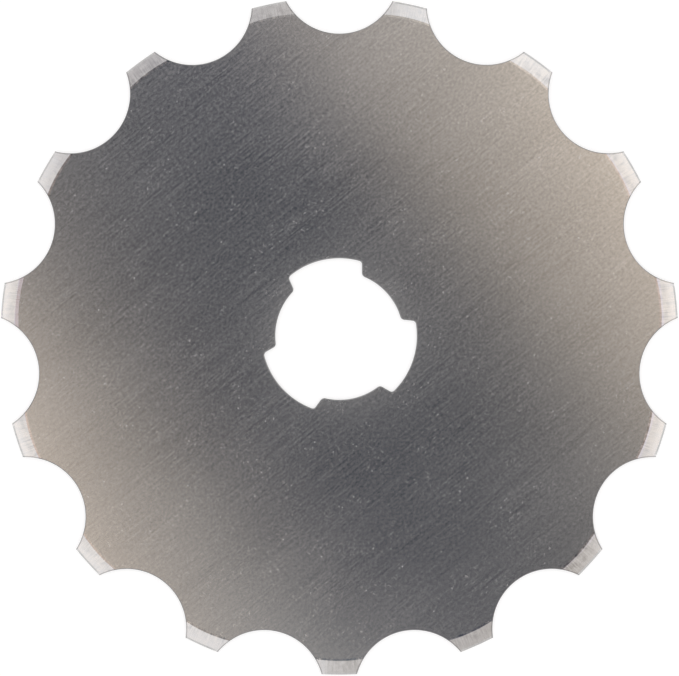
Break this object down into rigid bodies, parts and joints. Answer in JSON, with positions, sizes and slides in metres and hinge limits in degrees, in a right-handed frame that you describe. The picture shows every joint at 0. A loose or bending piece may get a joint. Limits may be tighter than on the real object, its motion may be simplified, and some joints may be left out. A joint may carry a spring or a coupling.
{
  "type": "rotary cutter blade",
  "caption": "Thin round steel blade with a scalloped rim ground sharp on both faces and a lobed bore, for perforating or skip cutting in a hand-held rotary cutter.",
  "frame": {"origin": "on the axis of the bore, at the blade's underside, which is the face it rests on", "axes": "+Z along the axis of the bore and out of the upper face; +Y through the middle of a scallop, and +X across it"},
  "size_m": [0.045, 0.0447, 0.0003],
  "materials": {
    "ground_steel": "satin"
  },
  "bodies": {
    "root": {"blade": "ground_steel"}
  },
  "joints": []
}
